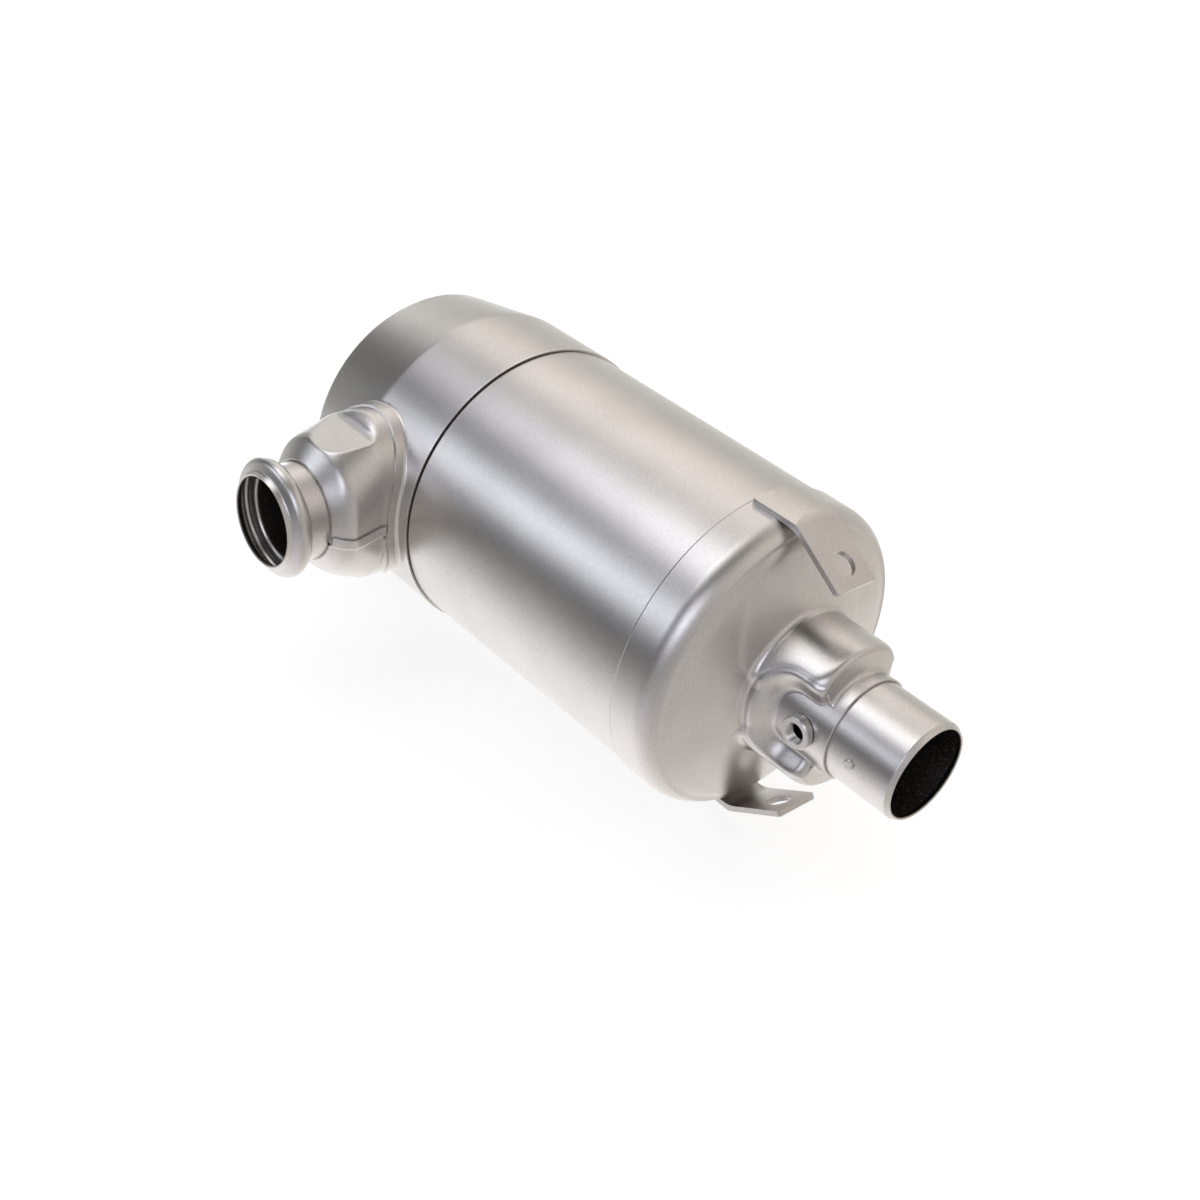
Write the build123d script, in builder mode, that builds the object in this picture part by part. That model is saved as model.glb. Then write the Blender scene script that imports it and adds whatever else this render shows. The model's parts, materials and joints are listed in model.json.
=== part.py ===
from build123d import *
import math
import os

# Side-entry catalytic converter, in millimetres.
# X runs along the can towards the outlet, +Z is up and the inlet points along -Y.
# The origin is the centre of the outlet pipe, midway along the length that a clamp or sleeve grips.

# Sheet and fits
sheet = 2.0
slip = 0.1
lap = 12.0

# Can
can_radius = 140.0

# Inlet cap
cap_band = 83.3
cap_taper_length = 86.1
cap_taper_angle = 9.6
cap_crease_round = 40.0
cap_rear_round = 6.2

# Outlet cone, its neck and its socket
cone_shoulder = 46.4
cone_knuckle = 26.9
cone_face_angle = 15.5
neck_radius = 66.4
neck_length = 58.6778
neck_base_round = 6.5
neck_shoulder_angle = 11.4
neck_shoulder_round = 4.6
socket_length = 13.0
socket_round = 4.5

# Recesses in the neck: one around the sensor boss and its twin behind
recess_valley_angle = 33.5
recess_wall_angle = 17.7
recess_ramp_length = 23.0
recess_ramp_angle = 40.8
recess_corner = 25.0
recess_reach_angle = 47.0

# Pipes
pipe_radius = 44.45
pipe_insertion = 16.0
pipe_edge_round = 2.0
outlet_reach = 64.3
outlet_grip = 32.8
outlet_lip_length = 4.3
outlet_lip_drop = 2.75

# Inlet pipe, with its bead set back from the nose's end
inlet_setback = 69.2
inlet_exposed = 41.7
nose_length = 4.4
nose_step = 0.45
nose_drop = 1.9
bead_setback = 13.3
bead_apex = 67.0
bead_foot = 8.8
bead_round = 7.0
bead_foot_round = 2.5

# Inlet neck shells, from the collar outwards: throat, taper, ridge and front face
throat_straight = 26.0
throat_rise = 5.9
taper_length = 32.0
ridge_radius = 61.6
ridge_straight = 3.7
ridge_setback = 15.5
front_face_angle = 37.3
neck_inner_gap = 4.0
split_height = -3.0
lap_band = 7.5
joggle = 2.0

# Flat pad on the upper neck shell
pad_setback = 15.0
pad_length = 38.6
pad_front_height = 62.5
pad_rear_height = 71.0
pad_step_angle = 45.0

# Collar pulled from the cap
collar_radius = 54.0
collar_height = 10.0
collar_foot_round = 3.5
collar_band_gap = 1.5

# Sensor boss
boss_radius = 14.0
boss_bore_radius = 8.3
boss_height = 7.0
boss_setback = 27.0
boss_chamfer = 1.0

# Locating stud on the outlet pipe
stud_radius = 4.5
stud_height = 2.0
stud_round = 1.2

# Brackets
bracket_width = 45.0
bracket_thickness = 5.0
bracket_lip_gap = 3.3
bracket_fold = 43.7
bracket_angle = 32.0
bracket_bend = 30.0
bracket_reach = 55.7
bracket_hole_radius = 11.0
bracket_hole_setback = 21.0
bracket_corner = 2.0

# Catalyst bricks, mats and rings inside the can
brick_length = 127.0
brick_inset = 24.0
brick_gap = 16.0
brick_outset = 7.7
mat_thickness = 4.65
mat_setback = 6.0
seal_length = 4.0
ring_sheet = 1.5
ring_lip = 7.0
ring_cover = 5.0
flow_plate_inset = 4.0
flow_hole_radius = 7.0
flow_hole_pitch = 23.0
flow_hole_rings = 5

os.makedirs("parts", exist_ok=True)


def tangent(angle):
    return math.tan(math.radians(angle))


# Radii that follow from the sizes above
band_radius = can_radius + slip + sheet
can_bore = can_radius - sheet
socket_radius = pipe_radius + slip + sheet
collar_rim = band_radius + collar_height
throat_radius = collar_radius - slip
brick_radius = can_bore - mat_thickness
can_length = brick_inset + 2 * brick_length + brick_gap + brick_outset

# Stations along X, worked back from the outlet's mouth
x_lip = outlet_grip / 2
x_mouth = x_lip + outlet_lip_length
x_stud = -outlet_grip / 2 - stud_radius
x_socket_end = x_mouth - outlet_reach
x_socket_corner = x_socket_end - socket_length
x_shoulder = x_socket_corner - (neck_radius - socket_radius) * tangent(neck_shoulder_angle)
x_neck_base = x_shoulder - neck_length
x_dome = x_neck_base - (band_radius - neck_radius) * tangent(cone_face_angle)
x_cone_lip = x_dome - cone_shoulder
x_can_rear = x_cone_lip + lap
x_can_front = x_can_rear - can_length
x_cap_lip = x_can_front + lap
x_cap_crease = x_cap_lip - cap_band
x_cap_rear = x_cap_crease - cap_taper_length
x_inlet = x_cap_lip - inlet_setback
x_boss = x_socket_end - boss_setback

# Stations outwards from the can's axis, along the inlet
throat_start = collar_rim + throat_rise
ridge_start = throat_start + taper_length
inlet_seam = ridge_start + ridge_setback
inlet_reach = inlet_seam + inlet_exposed
nose_start = inlet_reach - nose_length
bead_centre = inlet_reach - bead_setback
pad_front = inlet_seam - pad_setback
pad_rear = pad_front - pad_length

# Side plane with the can's axis along its x, and the same for the inlet's axis
can_side = Plane.XY
inlet_side = Plane(origin=(x_inlet, 0, 0), x_dir=(0, -1, 0), z_dir=(0, 0, 1))


def inlet_section(distance):
    """Plane across the inlet's axis at a distance from the can's axis."""
    return Plane(origin=(x_inlet, -distance, 0), x_dir=(1, 0, 0), z_dir=(0, -1, 0))


def inner_outline(points, rounds):
    """Outline of a sheet's inner face: each run moves in by the sheet, and its rounds follow."""
    inwards = math.copysign(sheet, points[-1][0] - points[0][0])
    headings = []
    for start, end in zip(points, points[1:]):
        headings.append(math.atan2(end[1] - start[1], end[0] - start[0]))
    turns = []
    for before, after in zip(headings, headings[1:]):
        turns.append(math.remainder(after - before, 2 * math.pi))
    slides = [0, *(inwards * math.tan(turn / 2) for turn in turns), 0]
    inner_points = []
    for (x, r), heading, slide in zip(points, [headings[0], *headings], slides):
        moved_x = x + inwards * math.sin(heading) + slide * math.cos(heading)
        moved_r = r - inwards * math.cos(heading) + slide * math.sin(heading)
        inner_points.append((moved_x, moved_r))
    inner_rounds = [outer + math.copysign(inwards, inwards * turn) for outer, turn in zip(rounds, turns)]
    return inner_points, inner_rounds


def turned_body(points, rounds, side=can_side):
    """Solid of revolution under an outline of (station, radius) points that ends on the axis."""
    with BuildPart() as body:
        with BuildSketch(side):
            with BuildLine():
                outline = FilletPolyline(*points, radius=rounds)
                Polyline(outline @ 1, (points[0][0], 0), outline @ 0)
            make_face()
        revolve(axis=Axis(side.origin, side.x_dir))
    return body.part


def turned_sheet(points, rounds, side=can_side):
    """Sheet of revolution whose outer face follows the outline."""
    inner_points, inner_rounds = inner_outline(points, rounds)
    with BuildPart() as body:
        with BuildSketch(side):
            with BuildLine():
                outer = FilletPolyline(*points, radius=rounds)
                inner = FilletPolyline(*inner_points, radius=inner_rounds)
                Line(outer @ 0, inner @ 0)
                Line(outer @ 1, inner @ 1)
            make_face()
        revolve(axis=Axis(side.origin, side.x_dir))
    return body.part


def obround(straight, radius):
    """Slot across the inlet's axis, tall along Z: a circle stretched by its straight part."""
    return SlotCenterToCenter(2 * straight, 2 * radius, rotation=90)


def closed_outline(points, rounds):
    """The outline with its open end brought down to the axis."""
    return [*points, (points[-1][0], 0)], [*rounds, 0]


# Inlet cap: a drawn cup with a closed back and an obround collar pulled out of its side
cap_points = [
    (x_cap_lip, band_radius),
    (x_cap_crease, band_radius),
    (x_cap_rear, band_radius - cap_taper_length * tangent(cap_taper_angle)),
    (x_cap_rear, 0),
]
cap_rounds = [cap_crease_round, cap_rear_round]

with BuildPart() as inlet_cap:
    with BuildSketch(inlet_section(0)):
        obround(throat_straight, collar_radius + sheet)
    extrude(amount=collar_rim)
    with BuildSketch(Plane.YZ.offset(x_cap_rear)):
        Circle(collar_rim)
    extrude(amount=cap_band + cap_taper_length, mode=Mode.INTERSECT)
    add(turned_body(cap_points, cap_rounds))
    fillet(inlet_cap.edges(Select.NEW), radius=collar_foot_round)
    add(turned_body(*inner_outline(cap_points, cap_rounds)), mode=Mode.SUBTRACT)
    with BuildSketch(inlet_section(0)):
        obround(throat_straight, collar_radius)
    extrude(amount=collar_rim, mode=Mode.SUBTRACT)
inlet_cap.part.label = "inlet_cap"
export_step(inlet_cap.part, "parts/inlet_cap.step")

# Can shell: a rolled tube, with each end inside the lip of its neighbour
with BuildPart() as can_shell:
    with BuildSketch(Plane.YZ.offset(x_can_front)):
        Circle(can_radius)
        Circle(can_bore, mode=Mode.SUBTRACT)
    extrude(amount=x_can_rear - x_can_front)
can_shell.part.label = "can_shell"
export_step(can_shell.part, "parts/can_shell.step")


def recess_space(growth):
    """Spaces on both sides of the socket where the neck is pressed in, grown on all sides."""
    wall = math.radians(recess_wall_angle)
    ramp = math.radians(recess_ramp_angle)
    valley_y = socket_radius * math.cos(math.radians(recess_valley_angle)) - growth * math.cos(wall)
    valley_z = socket_radius * math.sin(math.radians(recess_valley_angle)) + growth * math.sin(wall)
    outer_y = valley_y + neck_radius * math.tan(wall)
    outer_z = valley_z + neck_radius
    half_width = neck_radius * math.sin(math.radians(recess_reach_angle)) + growth
    start = x_neck_base + neck_base_round - growth
    foot_x = x_neck_base + recess_ramp_length - growth * math.sin(ramp)
    foot_r = socket_radius - growth * math.cos(ramp)
    with BuildPart() as space:
        with BuildSketch(Plane.YZ.offset(start)):
            with BuildLine():
                Polyline(
                    (-valley_y, -valley_z),
                    (-outer_y, -outer_z),
                    (-can_radius, -outer_z),
                    (-can_radius, outer_z),
                    (-outer_y, outer_z),
                    (-valley_y, valley_z),
                    close=True,
                )
            make_face()
        extrude(amount=x_mouth - start)
        with BuildSketch(Plane.XY):
            with BuildLine():
                Polyline(
                    (foot_x, 0),
                    (foot_x, foot_r),
                    (foot_x - (can_radius - foot_r) / math.tan(ramp), can_radius),
                    (x_mouth, can_radius),
                    (x_mouth, 0),
                    close=True,
                )
            make_face()
        revolve(axis=Axis.X, mode=Mode.INTERSECT)
        with BuildSketch(Plane.XZ) as plan:
            with Locations((start, 0)):
                Rectangle(x_mouth - start, 2 * half_width, align=(Align.MIN, Align.CENTER))
            fillet(plan.vertices().group_by(Axis.X)[0], radius=recess_corner + growth)
        extrude(amount=can_radius, mode=Mode.INTERSECT)
        mirror(about=Plane.XZ)
    return space.part


# Outlet cone: dome, neck and socket in one stamping
cone_points = [
    (x_cone_lip, band_radius),
    (x_dome, band_radius),
    (x_neck_base, neck_radius),
    (x_shoulder, neck_radius),
    (x_socket_corner, socket_radius),
    (x_socket_end, socket_radius),
]
cone_rounds = [cone_knuckle, neck_base_round, neck_shoulder_round, socket_round]

with BuildPart() as dome_outside:
    add(turned_body(*closed_outline(cone_points, cone_rounds)))
    add(recess_space(0), mode=Mode.SUBTRACT)
    with BuildSketch(Plane.YZ.offset(x_neck_base)):
        Circle(socket_radius)
    extrude(amount=x_socket_end - x_neck_base)

with BuildPart() as dome_inside:
    add(turned_body(*closed_outline(*inner_outline(cone_points, cone_rounds))))
    add(recess_space(sheet), mode=Mode.SUBTRACT)
    with BuildSketch(Plane.YZ.offset(x_neck_base)):
        Circle(socket_radius - sheet)
    extrude(amount=x_socket_end - x_neck_base)

with BuildPart() as outlet_cone:
    add(dome_outside.part)
    add(dome_inside.part, mode=Mode.SUBTRACT)
    with BuildSketch(Plane.XZ):
        with Locations((x_boss, 0)):
            Circle(boss_bore_radius)
    extrude(amount=neck_radius, mode=Mode.SUBTRACT)
outlet_cone.part.label = "outlet_cone"
export_step(outlet_cone.part, "parts/outlet_cone.step")

# Sensor boss: a threaded bung whose foot follows the socket's curve
with BuildPart() as sensor_boss:
    with BuildSketch(Plane.XZ):
        with Locations((x_boss, 0)):
            Circle(boss_radius)
            Circle(boss_bore_radius, mode=Mode.SUBTRACT)
    extrude(amount=socket_radius + boss_height)
    chamfer(sensor_boss.faces().sort_by(Axis.Y)[0].edges(), length=boss_chamfer)
    with BuildSketch(Plane.YZ.offset(x_neck_base)):
        Circle(socket_radius)
    extrude(amount=x_socket_end - x_neck_base, mode=Mode.SUBTRACT)
sensor_boss.part.label = "sensor_boss"
export_step(sensor_boss.part, "parts/sensor_boss.step")

# Outlet pipe with a lip that leads into the next pipe
outlet_pipe = turned_sheet(
    [
        (x_socket_end - pipe_insertion, pipe_radius),
        (x_lip, pipe_radius),
        (x_mouth, pipe_radius - outlet_lip_drop),
    ],
    [pipe_edge_round],
)
outlet_pipe.label = "outlet_pipe"
export_step(outlet_pipe, "parts/outlet_pipe.step")

# Locating stud that stops a pipe pushed over the outlet
with BuildPart() as locating_stud:
    with BuildSketch(Plane.XZ):
        with Locations((x_stud, 0)):
            Circle(stud_radius)
    extrude(amount=pipe_radius + stud_height)
    fillet(locating_stud.faces().sort_by(Axis.Y)[0].edges(), radius=stud_round)
    with BuildSketch(Plane.YZ.offset(x_socket_end)):
        Circle(pipe_radius)
    extrude(amount=outlet_reach, mode=Mode.SUBTRACT)
locating_stud.part.label = "locating_stud"
export_step(locating_stud.part, "parts/locating_stud.step")

# Inlet pipe with a hollow bead and a stepped nose
inlet_pipe = turned_sheet(
    [
        (inlet_seam - pipe_insertion, pipe_radius),
        (bead_centre - bead_foot, pipe_radius),
        (bead_centre, bead_apex),
        (nose_start, pipe_radius - nose_step),
        (inlet_reach, pipe_radius - nose_step - nose_drop),
    ],
    [bead_foot_round, bead_round, bead_foot_round],
    inlet_side,
)
inlet_pipe.label = "inlet_pipe"
export_step(inlet_pipe, "parts/inlet_pipe.step")


def neck_form(growth):
    """Solid inside the inlet neck's skin, grown outwards: throat, taper, ridge, front face and pad."""
    face_point = inlet_seam + growth / math.cos(math.radians(front_face_angle))
    face_slope = tangent(front_face_angle)
    face_foot = face_point - (can_radius - socket_radius) * face_slope
    pad_slope = (pad_rear_height - pad_front_height) / (pad_front - pad_rear)
    step_reach = (can_radius - pad_rear_height) / tangent(pad_step_angle)
    with BuildPart() as form:
        with BuildSketch(inlet_section(ridge_start)):
            obround(ridge_straight, ridge_radius + growth)
        extrude(amount=inlet_reach - ridge_start)
        with BuildSketch(inlet_section(ridge_start)):
            obround(ridge_straight, ridge_radius + growth)
        with BuildSketch(inlet_section(throat_start)):
            obround(throat_straight, throat_radius + growth)
        loft()
        with BuildSketch(inlet_section(0)):
            obround(throat_straight, throat_radius + growth)
        extrude(amount=throat_start)
        with BuildSketch(inlet_side):
            with BuildLine():
                Polyline(
                    (0, 0),
                    (0, can_radius),
                    (face_foot, can_radius),
                    (face_point, socket_radius),
                    (face_point, 0),
                    close=True,
                )
            make_face()
        revolve(axis=Axis(inlet_side.origin, inlet_side.x_dir), mode=Mode.INTERSECT)
        with BuildSketch(Plane.YZ.offset(x_inlet)):
            with BuildLine():
                Polyline(
                    (-inlet_reach, pad_front_height - (inlet_reach - pad_front) * pad_slope),
                    (-pad_rear, pad_rear_height),
                    (-pad_rear + step_reach, can_radius),
                    (-inlet_reach, can_radius),
                    close=True,
                )
            make_face()
            offset(amount=-growth, kind=Kind.INTERSECTION)
        extrude(amount=can_radius, both=True, mode=Mode.SUBTRACT)
    return form.part


# Inlet neck skin, cut to the pipe at its outer end and clear of the plenum at its inner end
neck_inside = neck_form(-sheet)


def neck_trim(core_radius):
    """Space left free by the neck shells: a core along the can's axis and the bore for the inlet pipe."""
    with BuildPart() as trim:
        with BuildSketch(Plane.YZ.offset(x_cap_rear)):
            Circle(core_radius)
        extrude(amount=x_cap_lip - x_cap_rear)
        with BuildSketch(inlet_section(0)):
            Circle(pipe_radius + slip)
        extrude(amount=inlet_reach)
    return trim.part


with BuildPart() as neck_skin:
    add(neck_form(0))
    add(neck_inside, mode=Mode.SUBTRACT)
    add(neck_trim(can_radius - neck_inner_gap), mode=Mode.SUBTRACT)

# Upper neck shell, with its pad; its lower edge lies inside the other shell's lap band
with BuildPart() as inlet_neck_upper:
    add(neck_skin.part)
    split(bisect_by=Plane.XY.offset(split_height - lap_band), keep=Keep.TOP)
inlet_neck_upper.part.label = "inlet_neck_upper"
export_step(inlet_neck_upper.part, "parts/inlet_neck_upper.step")

# Lower neck shell, whose edge is joggled outwards over the upper shell
lap_trim = neck_trim(collar_rim + collar_band_gap)


def lap_piece(core, top, depth):
    """Outer layer of the lap, over a core and between two heights, clear of the collar's rim."""
    with BuildPart() as piece:
        add(neck_form(slip + sheet))
        add(core, mode=Mode.SUBTRACT)
        add(lap_trim, mode=Mode.SUBTRACT)
        with BuildSketch(Plane.XY.offset(top)):
            with Locations((x_inlet, -inlet_seam)):
                Rectangle(2 * can_radius, inlet_seam, align=(Align.CENTER, Align.MIN))
        extrude(amount=-depth, mode=Mode.INTERSECT)
    return piece.part


with BuildPart() as inlet_neck_lower:
    add(neck_skin.part)
    split(bisect_by=Plane.XY.offset(split_height - lap_band), keep=Keep.BOTTOM)
    add(lap_piece(neck_form(slip), split_height, lap_band + joggle))
    add(lap_piece(neck_inside, split_height - lap_band, joggle))
inlet_neck_lower.part.label = "inlet_neck_lower"
export_step(inlet_neck_lower.part, "parts/inlet_neck_lower.step")


def bracket(name, up):
    """Bent strip welded to the cone's band above or below the can, with a bolt hole in its tab."""
    x_foot = x_cone_lip + bracket_lip_gap
    foot_top = band_radius + bracket_thickness
    tilt = math.radians(bracket_angle)
    x_fold = x_foot + bracket_fold
    x_tab = x_fold + bracket_reach
    z_tab = foot_top - bracket_reach * math.tan(tilt)
    x_under = x_tab - bracket_thickness * math.sin(tilt)
    z_under = z_tab - bracket_thickness * math.cos(tilt)
    foot_edge = math.sqrt(band_radius**2 - (bracket_width / 2) ** 2)
    x_fold_under = x_under - (foot_edge - z_under) / math.tan(tilt)
    along = (math.cos(tilt), 0, -math.sin(tilt))
    outwards = (math.sin(tilt), 0, math.cos(tilt))
    tab = Plane(origin=(x_tab, 0, z_tab), x_dir=along, z_dir=outwards)
    with BuildPart() as strip:
        with BuildSketch(Plane.XZ):
            with BuildLine():
                outer = FilletPolyline(
                    (x_foot, foot_top),
                    (x_fold, foot_top),
                    (x_tab, z_tab),
                    radius=bracket_bend,
                )
                inner = FilletPolyline(
                    (x_foot, foot_edge),
                    (x_fold_under, foot_edge),
                    (x_under, z_under),
                    radius=bracket_bend - bracket_thickness,
                )
                Line(outer @ 0, inner @ 0)
                Line(outer @ 1, inner @ 1)
            make_face()
        extrude(amount=bracket_width / 2, both=True)
        with BuildSketch(Plane.YZ.offset(x_foot)):
            Circle(foot_top)
        extrude(amount=bracket_fold + bracket_reach, mode=Mode.INTERSECT)
        add(dome_outside.part, mode=Mode.SUBTRACT)
        with BuildSketch(tab):
            with Locations((-bracket_hole_setback, 0)):
                Circle(bracket_hole_radius)
        extrude(amount=-2 * bracket_thickness, mode=Mode.SUBTRACT)
        corners = strip.faces().sort_by(Axis.X)[-1].edges().filter_by(Axis.Y, reverse=True)
        chamfer(corners, length=bracket_corner)
    solid = strip.part if up else strip.part.mirror(Plane.XY)
    solid.label = name
    export_step(solid, f"parts/{name}.step")


bracket("upper_bracket", True)
bracket("lower_bracket", False)

# Catalyst bricks, each in its fibre mat, with a mesh seal and a retaining ring at the outer ends
x_front_brick = x_can_front + brick_inset
x_rear_brick = x_front_brick + brick_length + brick_gap
mat_length = brick_length - 2 * mat_setback


def ring(name, x_start, length, outer, inner):
    """Plain ring or disc around the can's axis."""
    with BuildPart() as body:
        with BuildSketch(Plane.YZ.offset(x_start)):
            Circle(outer)
            if inner:
                Circle(inner, mode=Mode.SUBTRACT)
        extrude(amount=length)
    body.part.label = name
    export_step(body.part, f"parts/{name}.step")


for place, x_brick, x_seal in (
    ("front", x_front_brick, x_front_brick + mat_setback - seal_length),
    ("rear", x_rear_brick, x_rear_brick + brick_length - mat_setback),
):
    ring(f"{place}_brick", x_brick, brick_length, brick_radius, 0)
    ring(f"{place}_mat", x_brick + mat_setback, mat_length, can_bore - slip, brick_radius + slip)
    ring(f"{place}_mesh_seal", x_seal, seal_length, can_bore - slip, brick_radius + slip)


def retaining_ring(name, x_face, outwards):
    """Angle-section ring: its flange covers the mat and the brick's rim, its lip lies on the can."""
    with BuildPart() as body:
        with BuildSketch(Plane.YZ.offset(x_face)):
            Circle(can_bore - slip)
            Circle(brick_radius - ring_cover, mode=Mode.SUBTRACT)
        extrude(amount=outwards * ring_sheet)
        with BuildSketch(Plane.YZ.offset(x_face)):
            Circle(can_bore - slip)
            Circle(can_bore - slip - ring_sheet, mode=Mode.SUBTRACT)
        extrude(amount=outwards * ring_lip)
    body.part.label = name
    export_step(body.part, f"parts/{name}.step")


retaining_ring("front_retaining_ring", x_front_brick, -1)
retaining_ring("rear_retaining_ring", x_rear_brick + brick_length, 1)

# Perforated plate that spreads the gas over the front brick
with BuildPart() as flow_plate:
    with BuildSketch(Plane.YZ.offset(x_can_front + flow_plate_inset)):
        Circle(can_bore - slip)
        Circle(flow_hole_radius, mode=Mode.SUBTRACT)
        for turn in range(1, flow_hole_rings + 1):
            with PolarLocations(turn * flow_hole_pitch, 6 * turn):
                Circle(flow_hole_radius, mode=Mode.SUBTRACT)
    extrude(amount=ring_sheet)
    with BuildSketch(Plane.YZ.offset(x_can_front + flow_plate_inset)):
        Circle(can_bore - slip)
        Circle(can_bore - slip - ring_sheet, mode=Mode.SUBTRACT)
    extrude(amount=ring_lip)
flow_plate.part.label = "flow_plate"
export_step(flow_plate.part, "parts/flow_plate.step")
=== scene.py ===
import json
import math

import bpy
import numpy as np
from mathutils import Matrix, Vector

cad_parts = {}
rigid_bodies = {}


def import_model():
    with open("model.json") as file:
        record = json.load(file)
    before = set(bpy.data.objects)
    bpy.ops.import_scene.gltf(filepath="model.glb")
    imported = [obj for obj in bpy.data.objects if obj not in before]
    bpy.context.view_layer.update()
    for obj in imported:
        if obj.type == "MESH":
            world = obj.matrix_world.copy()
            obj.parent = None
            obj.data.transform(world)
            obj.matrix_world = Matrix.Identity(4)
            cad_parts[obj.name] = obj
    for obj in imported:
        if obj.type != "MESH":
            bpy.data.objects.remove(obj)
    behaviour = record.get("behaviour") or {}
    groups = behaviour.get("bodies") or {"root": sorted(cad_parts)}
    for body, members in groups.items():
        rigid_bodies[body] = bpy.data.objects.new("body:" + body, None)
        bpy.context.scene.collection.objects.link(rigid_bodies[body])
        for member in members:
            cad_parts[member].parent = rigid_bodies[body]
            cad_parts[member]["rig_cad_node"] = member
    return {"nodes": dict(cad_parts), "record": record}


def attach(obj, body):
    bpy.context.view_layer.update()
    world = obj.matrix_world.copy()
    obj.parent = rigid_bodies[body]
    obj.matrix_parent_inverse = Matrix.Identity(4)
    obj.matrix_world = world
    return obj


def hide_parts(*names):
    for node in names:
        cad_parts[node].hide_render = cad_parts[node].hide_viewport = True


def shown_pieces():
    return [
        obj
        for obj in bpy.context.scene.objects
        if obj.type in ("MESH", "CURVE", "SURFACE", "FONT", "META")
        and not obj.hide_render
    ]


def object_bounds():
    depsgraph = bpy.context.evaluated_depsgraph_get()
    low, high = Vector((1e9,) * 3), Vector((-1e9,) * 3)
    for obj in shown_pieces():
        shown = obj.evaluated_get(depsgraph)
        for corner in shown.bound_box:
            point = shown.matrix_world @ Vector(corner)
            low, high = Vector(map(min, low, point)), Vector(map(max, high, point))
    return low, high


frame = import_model()
cad_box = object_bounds()

# Shapes are worked out in millimetres, and MM turns them into metres
MM = 0.001
SHEET = 2.0
SLIP = 0.1
LAP_LIFT = SHEET + SLIP

# Least values that keep a division safe
TINY = 1e-6
SLIVER = 1e-3

# Points round a corner's arc: their density against the straight runs, and the least of them
ARC_DENSITY = 1.6
ARC_LEAST = 6

# Outlet cone: stations along X with radii, then each inner corner's round and 1 where it bulges outwards
SOCKET_RADIUS = 46.55
NECK_RADIUS = 66.4
CONE_RADIUS = 142.1
DOME_X = -140.27
NECK_X = -119.28
CONE_POINTS = [
    (-186.67, CONE_RADIUS),
    (DOME_X, CONE_RADIUS),
    (NECK_X, NECK_RADIUS),
    (-60.6, NECK_RADIUS),
    (-56.6, SOCKET_RADIUS),
    (-43.6, SOCKET_RADIUS),
]
CONE_ROUNDS = [(26.9, 1), (6.5, -1), (4.6, 1), (4.5, -1)]
BOSS_X = -70.6
BOSS_BORE = 8.3
DRILL_SIDES = 64

# Columns of the cone's grid from the inlet's side round: from, to and step in degrees
CONE_COLUMNS = ((-62.0, 62.0, 0.8), (62.0, 118.0, 2.0), (118.0, 242.0, 1.4), (242.0, 298.0, 2.0))
OUTER_STEP = 1.1
INNER_STEP = 4.0

# Recess in the neck: the edge of its floor, its ridge, and the low rim beside the dome
VALLEY_X = -95.4
VALLEY_ANGLE = 33.5
VALLEY_CORNER = 17.0
RIDGE_X = -117.6
RIDGE_ANGLE = 46.0
RIDGE_CORNER = 35.0
RIM_RADIUS = 61.5
RIM_ANGLES = (16.0, 30.0)
RIM_FILLET = 3.0
RIM_STRETCH = 0.2
CREST_RISE = 0.6
CREST_SLOPE = 1.6
STEEPNESS = 0.85

# Roundness of the recess's upper edge: its power, and how far that drops towards the neck's shoulder
EDGE_POWER = 9.0
POWER_DROP = 6.2
POWER_STATIONS = (-78.0, -62.0)

# The recess opens out towards the shoulder on an arc, which runs over this share of its radius
FLARE_X = -67.5
FLARE_RADIUS = 9.0
FLARE_REACH = 0.9

# Inlet neck, with distances from the can's axis. Its section is an oval, given at two distances by
# half of its straight flank and the radius of its ends
INLET_X = -533.57
THROAT = (158.0, 26.0, 53.9)
RIDGE = (190.0, 3.7, 61.6)
SEAM = 205.5
FACE_ANGLE = 37.3
PIPE_BORE = 44.55
CAP_CORE = 136.0

# Flat pad on top of the neck: distance and height of its two ends, and the blends of its edges
PAD_FRONT = (190.5, 62.5)
PAD_REAR = (151.9, 71.0)
PAD_FOLD = 2.0
PAD_EDGE = 1.0
PAD_SINE = 0.05
NO_PAD = 1e3

# Blend between the oval and the front face: its size, and how far that drops towards the top
RIDGE_BLEND = 11.0
BLEND_DROP = 5.8
BLEND_SINES = (0.3, 0.8)

# Heights on the lower shell, where it steps outwards to lap over the upper one
SPLIT = -3.0
LAP_END = -10.5
JOGGLE_END = -14.5
JOGGLE_EASE = 0.5

# Rows of the neck's grid: first distance, step and count, then the rows near the cap
BODY_ROWS = (158.5, 1.25, 25)
FRONT_ROWS = (190.0, 0.55, 28)
COLLAR_END = 153.6
LAP_START = 152.3
PLAIN_ROWS = (LAP_START, 152.9, COLLAR_END)
LAP_ROWS = (COLLAR_END, 154.0, 156.0)
FOOT_ROWS = {"upper": 12, "lower": 8}
FOOT_END = {"upper": 157.5, "lower": 151.5}
FOOT_DISTANCE = 140.0
NECK_COLUMNS = 200

# Search for the angle of a shell's edge: its first guess in degrees and its rounds
EDGE_START = -4.0
EDGE_ROUNDS = 40


def smooth_min(a, b, blend):
    near = np.clip(blend - np.abs(a - b), 0, None) / blend
    return np.minimum(a, b) - near * near * blend / 4


def smooth_max(a, b, blend):
    return -smooth_min(-a, -b, blend)


def smooth_step(low, high, value):
    share = np.clip((value - low) / (high - low), 0, 1)
    return share * share * (3 - 2 * share)


def stations(first, step, count):
    return [first + step * i for i in range(count)]


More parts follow.
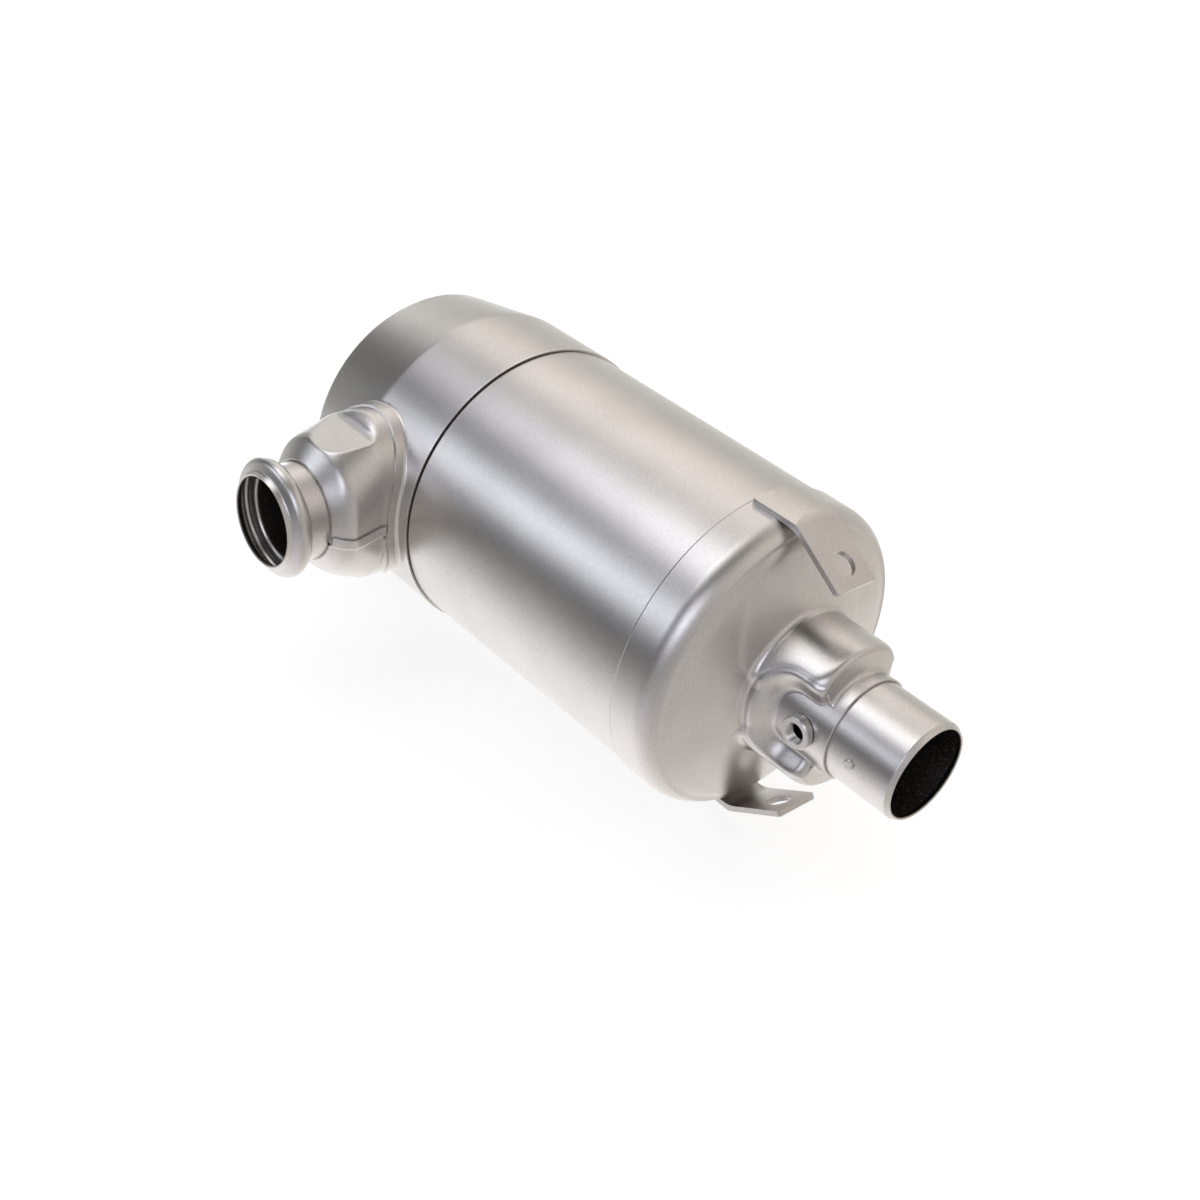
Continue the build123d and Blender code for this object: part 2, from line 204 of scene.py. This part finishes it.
def rounded(points, rounds, step):
    """Points along a polyline whose corners are arcs, about a step apart."""
    corners = [np.array(p, float) for p in points]
    path = [corners[0]]
    for before, corner, after, radius in zip(corners, corners[1:], corners[2:], rounds):
        back = (before - corner) / np.linalg.norm(before - corner)
        ahead = (after - corner) / np.linalg.norm(after - corner)
        half = math.acos(float(np.clip(back @ ahead, -1, 1))) / 2
        cut = radius / math.tan(half)
        middle = (back + ahead) / np.linalg.norm(back + ahead) * radius / math.sin(half)
        centre = corner + middle
        start = corner + back * cut - centre
        end = corner + ahead * cut - centre
        sweep = math.pi - 2 * half
        turn = math.copysign(sweep, start[0] * end[1] - start[1] * end[0])
        count = max(ARC_LEAST, int(radius * sweep / step * ARC_DENSITY))
        for i in range(count + 1):
            a = turn * i / count
            c, s = math.cos(a), math.sin(a)
            path.append(centre + np.array([c * start[0] - s * start[1], s * start[0] + c * start[1]]))
    path.append(corners[-1])
    filled = [path[0]]
    for start, end in zip(path, path[1:]):
        pieces = max(1, math.ceil(np.linalg.norm(end - start) / step))
        for i in range(1, pieces + 1):
            filled.append(start + (end - start) * i / pieces)
    return np.array(filled)


def offset_points(points, depth):
    """The corners of a profile moved inwards by the sheet's depth."""
    corners = [np.array(p, float) for p in points]
    runs = [after - before for before, after in zip(corners, corners[1:])]
    normals = [np.array([run[1], -run[0]]) / np.linalg.norm(run) for run in runs]
    moved = []
    for i, corner in enumerate(corners):
        beside = normals[max(i - 1, 0):i + 1]
        mean = sum(beside) / len(beside)
        moved.append(corner + mean * depth / (mean @ beside[0]))
    return moved


def grid_faces(rows, columns, start, wrap, flip=False):
    faces = []
    for i in range(rows - 1):
        for j in range(columns if wrap else columns - 1):
            k = (j + 1) % columns
            a, b = start + i * columns + j, start + i * columns + k
            c, d = start + (i + 1) * columns + k, start + (i + 1) * columns + j
            faces.append((a, b, c, d) if flip else (a, d, c, b))
    return faces


def shell_mesh(name, outer, inner, wrap):
    """Closed shell from an outer and an inner grid of points with the same columns."""
    rows_out, columns = outer.shape[:2]
    rows_in = inner.shape[0]
    points = np.concatenate([outer.reshape(-1, 3), inner.reshape(-1, 3)]) * MM
    base = rows_out * columns
    faces = grid_faces(rows_out, columns, 0, wrap)
    faces += grid_faces(rows_in, columns, base, wrap, flip=True)
    last, last_in = (rows_out - 1) * columns, base + (rows_in - 1) * columns
    for j in range(columns if wrap else columns - 1):
        k = (j + 1) % columns
        faces.append((j, k, base + k, base + j))
        faces.append((last + k, last + j, last_in + j, last_in + k))
    if not wrap:
        for j, flip in ((0, False), (columns - 1, True)):
            for i in range(rows_out - 1):
                low, high = i * columns + j, (i + 1) * columns + j
                quad = (low, base + low, base + high, high)
                faces.append(quad[::-1] if flip else quad)
    mesh = bpy.data.meshes.new(name)
    mesh.from_pydata(points.tolist(), [], faces)
    mesh.validate()
    mesh.update()
    return mesh


def add_piece(name, mesh, node):
    piece = bpy.data.objects.new(name, mesh)
    bpy.context.scene.collection.objects.link(piece)
    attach(piece, "root")
    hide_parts(node)


def box_distance(x, z, x_low, half, corner):
    """Distance from a slot open towards +x, with rounded corners at its closed end: negative inside."""
    dx = x_low + corner - x
    dz = np.abs(z) - (half - corner)
    outside = np.hypot(np.clip(dx, 0, None), np.clip(dz, 0, None))
    inside = np.minimum(np.maximum(dx, dz), 0)
    return outside + inside - corner


def cone_radius(x, angle, profile_radius, growth):
    """Radius of the cone at stations and angles, the angles measured from the side that faces the inlet."""
    angle = np.minimum(np.abs(angle), math.pi - np.abs(angle))
    mean_radius = (NECK_RADIUS + SOCKET_RADIUS) / 2
    past = np.clip(x - FLARE_X, 0, FLARE_REACH * FLARE_RADIUS)
    flare = FLARE_RADIUS - np.sqrt(FLARE_RADIUS**2 - past**2)
    around = angle * mean_radius - flare
    to_valley = box_distance(x, around, VALLEY_X, math.radians(VALLEY_ANGLE) * mean_radius, VALLEY_CORNER)
    to_ridge = box_distance(x, around, RIDGE_X, math.radians(RIDGE_ANGLE) * mean_radius, RIDGE_CORNER)
    between = np.clip(to_valley / np.maximum(to_valley - to_ridge, TINY), 0, 1)
    side = smooth_step(*RIM_ANGLES, np.degrees(angle))
    between = np.clip(between * (1 + RIM_STRETCH * (1 - side)), 0, 1)
    share = between - STEEPNESS * np.sin(math.tau * between) / math.tau
    top = RIM_RADIUS - SOCKET_RADIUS + (NECK_RADIUS - RIM_RADIUS + CREST_RISE) * side
    height = top * share + np.clip(to_ridge, 0, None) * CREST_SLOPE * side
    floor = SOCKET_RADIUS + growth
    face_slope = (CONE_RADIUS - NECK_RADIUS) / (NECK_X - DOME_X)
    dome_face = NECK_RADIUS + growth - face_slope * (x - NECK_X) - floor
    height = smooth_max(height, dome_face, RIM_FILLET)
    neck = np.maximum(profile_radius - floor, SLIVER)
    power = EDGE_POWER - POWER_DROP * smooth_step(*POWER_STATIONS, x)
    blend = neck * (1 + (neck / np.maximum(height, SLIVER)) ** power) ** (-1 / power)
    return floor + np.where(x < DOME_X, neck, blend)


def cone_grid(growth, step):
    """Points of a face of the cone that stands growth outside its outer one."""
    rounds = [radius + growth * bulge for radius, bulge in CONE_ROUNDS]
    profile = rounded(offset_points(CONE_POINTS, -growth), rounds, step)
    angles = np.radians(np.concatenate([np.arange(*span) for span in CONE_COLUMNS]))
    angles = np.where(angles > math.pi, angles - math.tau, angles)
    x, angle = np.meshgrid(profile[:, 0], angles, indexing="ij")
    radius = cone_radius(x, angle, profile[:, 1:], growth)
    return np.stack([x, -radius * np.cos(angle), radius * np.sin(angle)], axis=2)


def bored(mesh, x, radius, far):
    """The mesh with a round hole through its wall on the side that faces the inlet."""
    sides = DRILL_SIDES
    turns = [math.tau * i / sides for i in range(sides)]
    ring = [(math.cos(turn) * radius * MM, math.sin(turn) * radius * MM) for turn in turns]
    points = [(x * MM + a, y * MM, b) for y in (-far, 0) for a, b in ring]
    faces = [tuple(range(sides)), tuple(range(2 * sides - 1, sides - 1, -1))]
    faces += [(i, i + sides, (i + 1) % sides + sides, (i + 1) % sides) for i in range(sides)]
    drill_mesh = bpy.data.meshes.new("drill")
    drill_mesh.from_pydata(points, [], faces)
    drill_mesh.update()
    drill = bpy.data.objects.new("drill", drill_mesh)
    body = bpy.data.objects.new("bored", mesh)
    for thing in (drill, body):
        bpy.context.scene.collection.objects.link(thing)
    cut = body.modifiers.new("cut", "BOOLEAN")
    cut.object = drill
    cut.operation = "DIFFERENCE"
    cut.solver = "EXACT"
    result = bpy.data.meshes.new_from_object(body.evaluated_get(bpy.context.evaluated_depsgraph_get()))
    for thing in (drill, body):
        bpy.data.objects.remove(thing)
    bpy.data.meshes.remove(drill_mesh)
    return result


def neck_radius(d, angle, growth):
    """Radius of the inlet neck about the inlet's axis, at distances and angles above +X."""
    share = np.clip((d - THROAT[0]) / (RIDGE[0] - THROAT[0]), 0, 1)
    straight = THROAT[1] + (RIDGE[1] - THROAT[1]) * share
    radius = THROAT[2] + (RIDGE[2] - THROAT[2]) * share + growth
    c, s = np.cos(angle), np.sin(angle)
    side = radius / np.maximum(np.abs(c), TINY)
    end = straight * np.abs(s) + np.sqrt(np.maximum(radius**2 - (straight * c) ** 2, 0))
    oval = np.where(side * np.abs(s) <= straight, side, end)
    lean = math.radians(FACE_ANGLE)
    face = SOCKET_RADIUS + (SEAM + growth / math.cos(lean) - d) / math.tan(lean)
    tilt = (PAD_REAR[1] - PAD_FRONT[1]) / (PAD_FRONT[0] - PAD_REAR[0])
    flat = PAD_FRONT[1] + (PAD_FRONT[0] - d) * tilt + growth * math.hypot(1, tilt)
    step = PAD_REAR[1] + (PAD_REAR[0] - d) + growth * math.sqrt(2)
    top = smooth_max(flat, step, PAD_FOLD)
    pad = np.where(s > PAD_SINE, top / np.maximum(s, PAD_SINE), NO_PAD)
    ridge_blend = RIDGE_BLEND - BLEND_DROP * smooth_step(*BLEND_SINES, s)
    return smooth_min(smooth_min(oval, face, ridge_blend), pad, PAD_EDGE)


def neck_rows(part):
    """Kind and place of each row of a neck shell, from the cap outwards.

    Foot rows are placed by their share of the way up from the cap, the others by their distance.
    """
    rows = [("foot", share) for share in np.linspace(0, 1, FOOT_ROWS[part])]
    outwards = stations(*BODY_ROWS) + stations(*FRONT_ROWS)[1:] + [SEAM]
    if part == "upper":
        return rows + [("plain", d) for d in outwards]
    rows += [("plain", d) for d in PLAIN_ROWS]
    return rows + [("lap", d) for d in (*LAP_ROWS, *outwards)]


def edge_angle(d, height, growth):
    """Angle above +X at which the neck's face passes a height."""
    angle = math.radians(EDGE_START)
    for _ in range(EDGE_ROUNDS):
        angle = math.asin(height / float(neck_radius(np.array(d), np.array(angle), growth)))
    return angle


def neck_grid(growth, part):
    """Points of one neck shell's face, between its two edges along the split."""
    lower = part == "lower"
    grid = []
    for kind, place in neck_rows(part):
        d_row = FOOT_DISTANCE if kind == "foot" else place
        if kind == "lap":
            first = edge_angle(d_row, SPLIT, growth + LAP_LIFT)
        else:
            first = edge_angle(d_row, LAP_END, growth)
        if lower:
            angles = np.linspace(math.pi - first, 2 * math.pi + first, NECK_COLUMNS)
        else:
            angles = np.linspace(first, math.pi - first, NECK_COLUMNS)
        d = np.full(NECK_COLUMNS, d_row)
        lift = 0.0
        if kind == "foot":
            z = neck_radius(d, angles, growth) * np.sin(angles)
            start = np.sqrt(np.maximum(CAP_CORE**2 - z**2, 0))
            d = start + (FOOT_END[part] - start) * place
        elif lower:
            z = neck_radius(d, angles, growth) * np.sin(angles)
            lift = LAP_LIFT * smooth_step(JOGGLE_END, LAP_END - JOGGLE_EASE, z)
            lift = lift * smooth_step(LAP_START, COLLAR_END, d)
        rho = neck_radius(d, angles, growth + lift)
        if growth < 0:
            rho = np.maximum(rho, PIPE_BORE)
        grid.append(np.stack([INLET_X + rho * np.cos(angles), -d, rho * np.sin(angles)], axis=1))
    return np.array(grid)


cone_mesh = shell_mesh("outlet_cone_shell", cone_grid(0.0, OUTER_STEP), cone_grid(-SHEET, INNER_STEP), True)
cone_mesh = bored(cone_mesh, BOSS_X, BOSS_BORE, NECK_RADIUS)
add_piece("outlet_cone_skin", cone_mesh, "outlet_cone")

for part in ("upper", "lower"):
    neck_mesh = shell_mesh(f"inlet_neck_{part}_skin", neck_grid(0.0, part), neck_grid(-SHEET, part), False)
    add_piece(f"inlet_neck_{part}_skin", neck_mesh, f"inlet_neck_{part}")


class Tree:
    """The nodes of a material or world. Its calls return an output to link onwards."""

    def __init__(self, owner, coordinates):
        owner.use_nodes = True
        self.nodes, self.links = owner.node_tree.nodes, owner.node_tree.links
        self.place = self.nodes.new("ShaderNodeTexCoord").outputs[coordinates]

    def feed(self, socket, value):
        """Link an output to a socket, or set the socket's own value."""
        if isinstance(value, bpy.types.NodeSocket):
            self.links.new(value, socket)
        else:
            socket.default_value = value

    def node(self, kind, inputs, **settings):
        node = self.nodes.new(kind)
        for key, value in settings.items():
            setattr(node, key, value)
        for key, value in inputs.items():
            self.feed(node.inputs[key], value)
        return node

    def number(self, operation, *values, clamp=False):
        inputs = dict(enumerate(values))
        return self.node("ShaderNodeMath", inputs, operation=operation, use_clamp=clamp).outputs[0]

    def vector(self, operation, *values, result="Vector"):
        inputs = dict(enumerate(values))
        return self.node("ShaderNodeVectorMath", inputs, operation=operation).outputs[result]

    def axes(self):
        return self.node("ShaderNodeSeparateXYZ", {0: self.place}).outputs

    def rise(self, value, low, high, first=0.0, second=1.0):
        """First below low, second above high and smooth between them."""
        inputs = {"Value": value, "From Min": low, "From Max": high, "To Min": first, "To Max": second}
        return self.node("ShaderNodeMapRange", inputs, interpolation_type="SMOOTHSTEP").outputs["Result"]

    def fall(self, value, low, high):
        """One below low, nothing above high and smooth between them."""
        return self.rise(value, low, high, 1.0, 0.0)

    def mix(self, share, first, second):
        sockets = {"Factor": share}
        for key, colour in (("A", first), ("B", second)):
            sockets[key] = (*colour, 1) if isinstance(colour, tuple) else colour
        return self.node("ShaderNodeMix", sockets, data_type="RGBA").outputs["Result"]

    def noise(self, scale, detail, roughness, place=None):
        inputs = {"Scale": scale, "Detail": detail, "Roughness": roughness}
        inputs["Vector"] = self.place if place is None else place
        return self.node("ShaderNodeTexNoise", inputs).outputs["Fac"]

    def bump(self, height, distance, strength, **under):
        """A bent normal, on top of another one where that is given as Normal."""
        inputs = {"Height": height, "Distance": distance, "Strength": strength, **under}
        return self.node("ShaderNodeBump", inputs).outputs["Normal"]

    def from_axis(self, centre):
        """Distance from an axis through centre, where None marks the axis's own direction."""
        squares = []
        for axis, middle in zip(self.axes(), centre):
            if middle is not None:
                offset = self.number("SUBTRACT", axis, middle * MM)
                squares.append(self.number("MULTIPLY", offset, offset))
        return self.number("SQRT", self.number("ADD", *squares))


def new_material(name):
    material = bpy.data.materials.new(name)
    tree = Tree(material, "Object")
    return material, tree, tree.nodes["Principled BSDF"].inputs


# Steel: its colours, roughness and grain. A noise is its scale per metre, its detail and its roughness
STEEL = (0.595, 0.58, 0.565)
FITTING = (0.62, 0.605, 0.59)
# Painted shade, near-black, for the crevice under the cap's lip and the seam round the boss's foot
PAINTED_CREVICE_SHADE = (0.035, 0.032, 0.03)
# Painted highlight, a lighter steel, along the cap's lip edge
PAINTED_EDGE_HIGHLIGHT = (0.68, 0.66, 0.64)
# Painted highlight on the threads in the boss's bore
PAINTED_THREAD_HIGHLIGHT = (0.85, 0.83, 0.80)
SATIN = 0.278
FITTING_ROUGHNESS = 0.285
FITTING_GRAIN = 0.4
ROUGHNESS_SPREAD = 0.01
GRAIN_DEPTH = 0.0001
GRAIN = (1050.0, 2.0, 0.75)
GRAIN_ENDS = (0.3, 0.7)
CLOUD = (14.0, 2.0, 0.5)
GRAIN_WEIGHT = 1.3
CLOUD_WEIGHT = 0.4
MOTTLE_ENDS = (0.5, 1.2)
LIGHTER = 1.16
DARKER = 0.84

# Painted shade inside the pipes: the radii over which it fades in, its fade at the mouth, and its specks
BORE_SHADE_RADII = (42.6, 43.4)
BORE_SHADE_MOUTH = (-0.7, -0.2)
BORE_SHADE_ROUGHNESS = 0.25
SPECK = (700.0, 2.0, 0.8)
SPECK_ENDS = (0.55, 0.75)

# Each bore: its side, a point on its axis, where its lip starts, its mouth, how fast the lip widens,
# and the tones of its painted shade and specks
OUTLET_BORE_SHADE = ("outlet", (None, 0.0, 0.0), 16.4, 20.7, 0.64, (0.055, 0.050, 0.046), (0.45, 0.42, 0.38))
INLET_BORE_SHADE = ("inlet", (INLET_X, None, 0.0), 242.9, 247.2, 0.43, (0.100, 0.088, 0.080), (0.45, 0.40, 0.36))

# Bands round the can where the cap's lip ends, from and to along X, with a colour: painted shade in the
# crevice under the lip on the can, and a painted highlight along the lip's edge on the cap
CAP_LIP = -464.37
LIP_SHADE = (CAP_LIP - 1.0, CAP_LIP + 1.7, PAINTED_CREVICE_SHADE)
LIP_EDGE = (CAP_LIP - 2.0, CAP_LIP + 1.0, PAINTED_EDGE_HIGHLIGHT)
BAND_FADE = 0.05

# Boss: the painted shade of the seam at its foot fades between radii about the can's axis, its threads and
# their painted highlight between radii of its bore
SEAM_RADII = (SOCKET_RADIUS + 0.7, SOCKET_RADIUS + 1.0)
THREAD_RADII = (BOSS_BORE + 0.1, BOSS_BORE + 0.3)
THREAD_PITCH = 1.5


def painted_bore_shade(tree, side, centre, lip, mouth, widening):
    """Mask of painted shade: one on the wall inside a pipe, nothing on its outside, its lip or its end face.
    """
    x, y, _ = tree.axes()
    along = x if side == "outlet" else tree.number("MULTIPLY", y, -1.0)
    past_lip = tree.number("MAXIMUM", tree.number("SUBTRACT", along, lip * MM), 0.0)
    radius = tree.number("MULTIPLY_ADD", past_lip, widening, tree.from_axis(centre))
    inside = tree.fall(radius, *(end * MM for end in BORE_SHADE_RADII))
    deep = tree.fall(along, *((mouth + end) * MM for end in BORE_SHADE_MOUTH))
    return tree.number("MULTIPLY", inside, deep)


def in_band(tree, start, end):
    """One between two stations along the can."""
    middle, half = (start + end) / 2 * MM, (end - start) / 2 * MM
    away = tree.number("ABSOLUTE", tree.number("SUBTRACT", tree.axes()[0], middle))
    return tree.fall(away, half - BAND_FADE * MM, half + BAND_FADE * MM)


def steel(name, colour=STEEL, roughness=SATIN, grain=1.0, bore_shade=None, band=None):
    """Satin stainless: a fine grain in tone and bump, a cloudy tone, and perhaps painted shade in a bore or a
    band of painted shade or highlight.
    """
    material, tree, shader = new_material(name)
    tree.feed(shader["Metallic"], 1.0)
    fine = tree.noise(*GRAIN)
    cloud = tree.number("MULTIPLY", tree.noise(*CLOUD), CLOUD_WEIGHT)
    mottle = tree.number("MULTIPLY_ADD", fine, GRAIN_WEIGHT, cloud)
    dark, light = (tuple(part * change for part in colour) for change in (DARKER, LIGHTER))
    tone = tree.mix(tree.rise(mottle, *MOTTLE_ENDS), dark, light)
    rough = tree.rise(fine, *GRAIN_ENDS, roughness, roughness + ROUGHNESS_SPREAD)
    # A band of painted shade or of painted highlight round the can
    if band:
        tone = tree.mix(in_band(tree, *band[:2]), tone, band[2])
    # Painted shade inside the bore, darkening it, with lighter specks
    if bore_shade:
        inside = painted_bore_shade(tree, *bore_shade[:5])
        speck = tree.rise(tree.noise(*SPECK), *SPECK_ENDS)
        tone = tree.mix(inside, tone, tree.mix(speck, *bore_shade[5:]))
        rough = tree.number("MULTIPLY_ADD", inside, BORE_SHADE_ROUGHNESS, rough)
    tree.feed(shader["Base Color"], tone)
    tree.feed(shader["Roughness"], rough)
    tree.feed(shader["Normal"], tree.bump(fine, GRAIN_DEPTH, grain))
    return material


def threaded_boss():
    """The sensor boss: painted highlights on the threads in its bore and painted shade in the seam round its
    foot.
    """
    material = steel("boss_steel", FITTING, FITTING_ROUGHNESS, FITTING_GRAIN)
    tree = Tree(material, "Object")
    shader = tree.nodes["Principled BSDF"].inputs
    colour, normal = (shader[key].links[0].from_socket for key in ("Base Color", "Normal"))
    # Painted shade in the seam round the boss's foot, and a painted highlight on the threads in its bore
    seam = tree.fall(tree.from_axis((None, 0.0, 0.0)), *(end * MM for end in SEAM_RADII))
    bore = tree.fall(tree.from_axis((BOSS_X, None, 0.0)), *(end * MM for end in THREAD_RADII))
    tree.feed(shader["Base Color"], tree.mix(bore, tree.mix(seam, colour, PAINTED_CREVICE_SHADE), PAINTED_THREAD_HIGHLIGHT))
    crest = tree.number("PINGPONG", tree.axes()[1], THREAD_PITCH / 2 * MM)
    tree.feed(shader["Normal"], tree.bump(crest, distance=1.0, strength=bore, Normal=normal))
    return material


# Inner materials: the brick's half cell and the fade of its walls, in metres
HALF_CELL = 0.00064
WALL_EDGE = (0.00006, 0.00012)
CHALK = (60.0, 5.0, 0.5)
STRAND = (300.0, 6.0, 0.7)
STRAND_STRETCH = (1.0, 6.0, 6.0)
LOOP_SCALE = 600.0
WIRE_EDGE = (0.05, 0.2)
CELL_DEPTH = 0.0002
FIBRE_DEPTH = 0.0003
WIRE_DEPTH = 0.0003


def ceramic():
    """Cordierite brick: square cells in its end faces, their openings painted near-black as shade, and a
    chalky skin.
    """
    material, tree, shader = new_material("brick_ceramic")
    tree.feed(shader["Roughness"], 0.85)
    cells = [tree.number("PINGPONG", axis, HALF_CELL) for axis in tree.axes()[1:]]
    wall = tree.number("MAXIMUM", *(tree.fall(cell, *WALL_EDGE) for cell in cells))
    skin = tree.mix(tree.noise(*CHALK), (0.50, 0.44, 0.36), (0.66, 0.60, 0.50))
    # The cells' openings are painted near-black, a painted shade down the channels; the walls keep the skin's
    # colour
    tree.feed(shader["Base Color"], tree.mix(wall, (0.04, 0.035, 0.03), skin))
    tree.feed(shader["Normal"], tree.bump(wall, CELL_DEPTH, strength=0.6))
    return material


def fibre():
    """Pressed alumina fibre mat: pale tangled strands."""
    material, tree, shader = new_material("mat_fibre")
    tree.feed(shader["Roughness"], 0.95)
    drawn = tree.node("ShaderNodeMapping", {"Vector": tree.place, "Scale": STRAND_STRETCH}).outputs["Vector"]
    strand = tree.noise(*STRAND, drawn)
    tree.feed(shader["Base Color"], tree.mix(strand, (0.62, 0.60, 0.55), (0.86, 0.85, 0.80)))
    tree.feed(shader["Normal"], tree.bump(strand, FIBRE_DEPTH, strength=0.7))
    return material


def knitted():
    """Knitted wire mesh: bright loops over gaps painted dark as shade."""
    material, tree, shader = new_material("mesh_steel")
    tree.feed(shader["Metallic"], 1.0)
    tree.feed(shader["Roughness"], 0.4)
    inputs = {"Vector": tree.place, "Scale": LOOP_SCALE}
    loops = tree.node("ShaderNodeTexVoronoi", inputs, feature="DISTANCE_TO_EDGE").outputs["Distance"]
    wire = tree.fall(loops, *WIRE_EDGE)
    # The gaps between loops are painted near-black: painted shade
    tree.feed(shader["Base Color"], tree.mix(wire, (0.05, 0.05, 0.05), (0.5, 0.49, 0.47)))
    tree.feed(shader["Normal"], tree.bump(wire, WIRE_DEPTH, strength=1.0))
    return material


# Finishes by the record's slots, and those of the nodes that need more than their slot gives
finishes = {
    "shell_steel": steel("shell_steel"),
    "pipe_steel": steel("pipe_steel"),
    "boss_steel": threaded_boss(),
    "bracket_steel": steel("bracket_steel", (0.60, 0.58, 0.56), roughness=0.33, grain=0.7),
    "ring_steel": steel("ring_steel", (0.55, 0.53, 0.51), roughness=0.35, grain=0.8),
    "mesh_steel": knitted(),
    "brick_ceramic": ceramic(),
    "mat_fibre": fibre(),
}
own_finishes = {
    "outlet_pipe": steel("outlet_pipe_steel", bore_shade=OUTLET_BORE_SHADE),
    "inlet_pipe": steel("inlet_pipe_steel", bore_shade=INLET_BORE_SHADE),
    "can_shell": steel("can_steel", band=LIP_SHADE),
    "inlet_cap": steel("cap_steel", band=LIP_EDGE),
    "locating_stud": steel("stud_steel", FITTING, FITTING_ROUGHNESS, FITTING_GRAIN),
}
slots = {part["node"]: part["material_slot"] for part in frame["record"]["subparts"]}
for name, node in frame["nodes"].items():
    node.data.materials.clear()
    node.data.materials.append(own_finishes.get(name, finishes[slots[name]]))
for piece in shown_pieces():
    if "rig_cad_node" not in piece:
        piece.data.materials.clear()
        piece.data.materials.append(finishes["shell_steel"])
        for polygon in piece.data.polygons:
            polygon.use_smooth = True

# Camera at the photograph's place and turn, in metres and directions
camera_data = bpy.data.cameras.new("camera")
camera_data.lens = 47.506
camera_data.sensor_width = 36.0
camera = bpy.data.objects.new("camera", camera_data)
bpy.context.scene.collection.objects.link(camera)
camera_right = (0.65426, 0.74407, 0.13522)
camera_up = (-0.49138, 0.28235, 0.82389)
camera_back = (0.57487, -0.60550, 0.55036)
camera_place = (0.4889, -0.8840, 0.7448)
camera_rows = [list(row) for row in zip(camera_right, camera_up, camera_back, camera_place)]
camera.matrix_world = Matrix(camera_rows + [[0, 0, 0, 1]])
bpy.context.scene.camera = camera

# Soft panels of light round the object: azimuth, elevation, width, height, twist, colour
PANELS = [
    (-157, 67, 0.34, 0.21, -27, (2.20, 2.13, 2.03)),
    (-128, 20, 0.18, 0.22, -86, (2.57, 2.66, 2.93)),
    (-74, 28, 0.20, 0.31, -36, (2.40, 2.42, 2.84)),
    (-148, -60, 1.64, 0.48, 16, (0.55, 0.54, 0.59)),
    (131, -22, 0.96, 1.69, 184, (0.80, 0.79, 0.75)),
    (131, 40, 0.51, 0.27, -13, (0.95, 0.86, 0.80)),
    (150, 50, 0.16, 0.58, -146, (0.73, 0.71, 0.70)),
    (148, -14, 0.11, 0.45, 149, (1.94, 2.11, 2.26)),
    (35, 53, 0.54, 1.02, 71, (0.75, 0.70, 0.65)),
    (-21, -11, 1.36, 1.70, 38, (0.58, 0.56, 0.55)),
    (-159, -29, 0.40, 0.45, 0, (0.75, 0.76, 0.73)),
    (-146, 52, 0.29, 0.14, -12, (2.23, 2.27, 2.56)),
    (-18, -84, 0.78, 1.65, -85, (0.68, 0.64, 0.60)),
    (60, -9, 0.74, 1.05, 36, (0.48, 0.44, 0.40)),
]

world = bpy.data.worlds.new("studio")
bpy.context.scene.world = world
sky = Tree(world, "Generated")
glow = (0.002, 0.002, 0.003)
for azimuth, elevation, width, height, twist, colour in PANELS:
    turn = Matrix.Rotation(math.radians(azimuth), 3, "Z") @ Matrix.Rotation(math.radians(-elevation), 3, "Y")
    turn = turn @ Matrix.Rotation(math.radians(twist), 3, "X")
    facing = sky.vector("DOT_PRODUCT", sky.place, turn @ Vector((1, 0, 0)), result="Value")
    inputs = {"Vector": sky.place, "Rotation": turn.transposed().to_euler()}
    across = sky.node("ShaderNodeMapping", inputs).outputs["Vector"]
    stretched = sky.vector("MULTIPLY", across, (0, 1 / width, 1 / height))
    square = sky.vector("DOT_PRODUCT", stretched, stretched, result="Value")
    fade = sky.number("POWER", math.exp(-1), square)
    share = sky.number("MULTIPLY", fade, facing, clamp=True)
    glow = sky.vector("MULTIPLY_ADD", colour, share, glow)
sky.feed(sky.nodes["Background"].inputs["Color"], glow)

# White floor that keeps the object's shadow
FLOOR_REACH = 6
FLOOR_DROP = 0.0005
FLOOR_TONE = 0.33
FLOOR_GLOW = 0.8
corners = [(x * FLOOR_REACH, y * FLOOR_REACH, 0) for x, y in ((-1, -1), (1, -1), (1, 1), (-1, 1))]
floor_data = bpy.data.meshes.new("floor")
floor_data.from_pydata(corners, [], [(0, 1, 2, 3)])
floor = bpy.data.objects.new("floor", floor_data)
floor.location = (0, 0, cad_box[0][2] - FLOOR_DROP)
floor.visible_glossy = False
bpy.context.scene.collection.objects.link(floor)
paper, tree, shader = new_material("floor_paper")
tree.feed(shader["Base Color"], (FLOOR_TONE, FLOOR_TONE, FLOOR_TONE, 1))
tree.feed(shader["Roughness"], 1.0)
tree.feed(shader["Specular IOR Level"], 0.0)
tree.feed(shader["Emission Color"], (1, 1, 1, 1))
tree.feed(shader["Emission Strength"], FLOOR_GLOW)
floor_data.materials.append(paper)

bpy.context.scene.view_settings.view_transform = "Standard"
